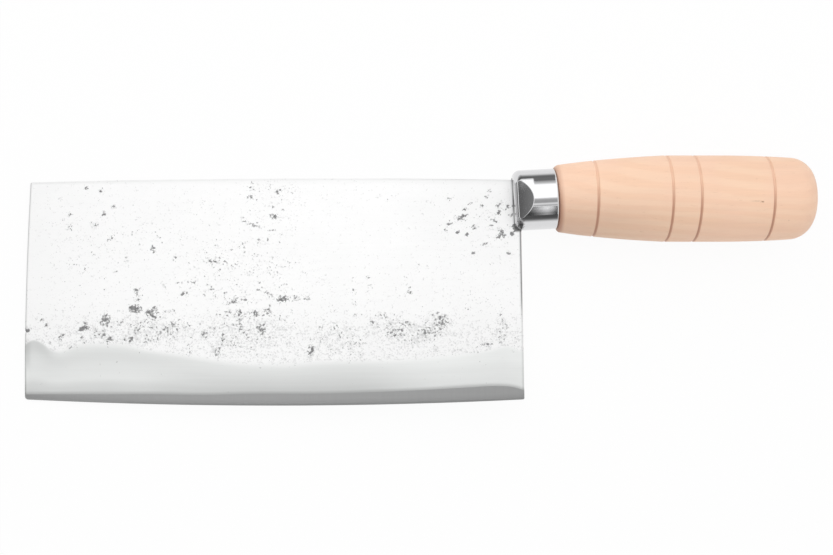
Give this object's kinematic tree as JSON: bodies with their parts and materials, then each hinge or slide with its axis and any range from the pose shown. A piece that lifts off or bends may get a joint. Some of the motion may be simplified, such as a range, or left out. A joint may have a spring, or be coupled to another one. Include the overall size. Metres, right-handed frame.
{
  "type": "chinese cleaver",
  "caption": "Chinese cleaver with a broad laminated rectangular blade, a polished steel ferrule and a turned pale wooden handle with grooves.",
  "frame": {"origin": "on the handle's axis, in the middle of the grip band between the two middle grooves", "axes": "+X along the handle to the butt, +Y to the blade's spine, +Z out of the blade's right face; the knife lies on its left side"},
  "size_m": [0.3468, 0.1102, 0.038],
  "materials": {
    "cladding": "finely brushed, with small dark forge marks",
    "core": "ground, darker than the cladding",
    "tang": "plain mild steel",
    "ferrule": "mirror polished stainless steel",
    "wood": "pale close-grained hardwood, turned and lightly waxed",
    "resin": "cured amber resin",
    "washer": "plain steel washer"
  },
  "bodies": {
    "root": {"blade_core": "core", "cladding_right": "cladding", "cladding_left": "cladding", "tang": "tang", "tang_bedding": "resin", "ferrule": "ferrule", "handle": "wood", "butt_washer": "washer"}
  },
  "joints": []
}
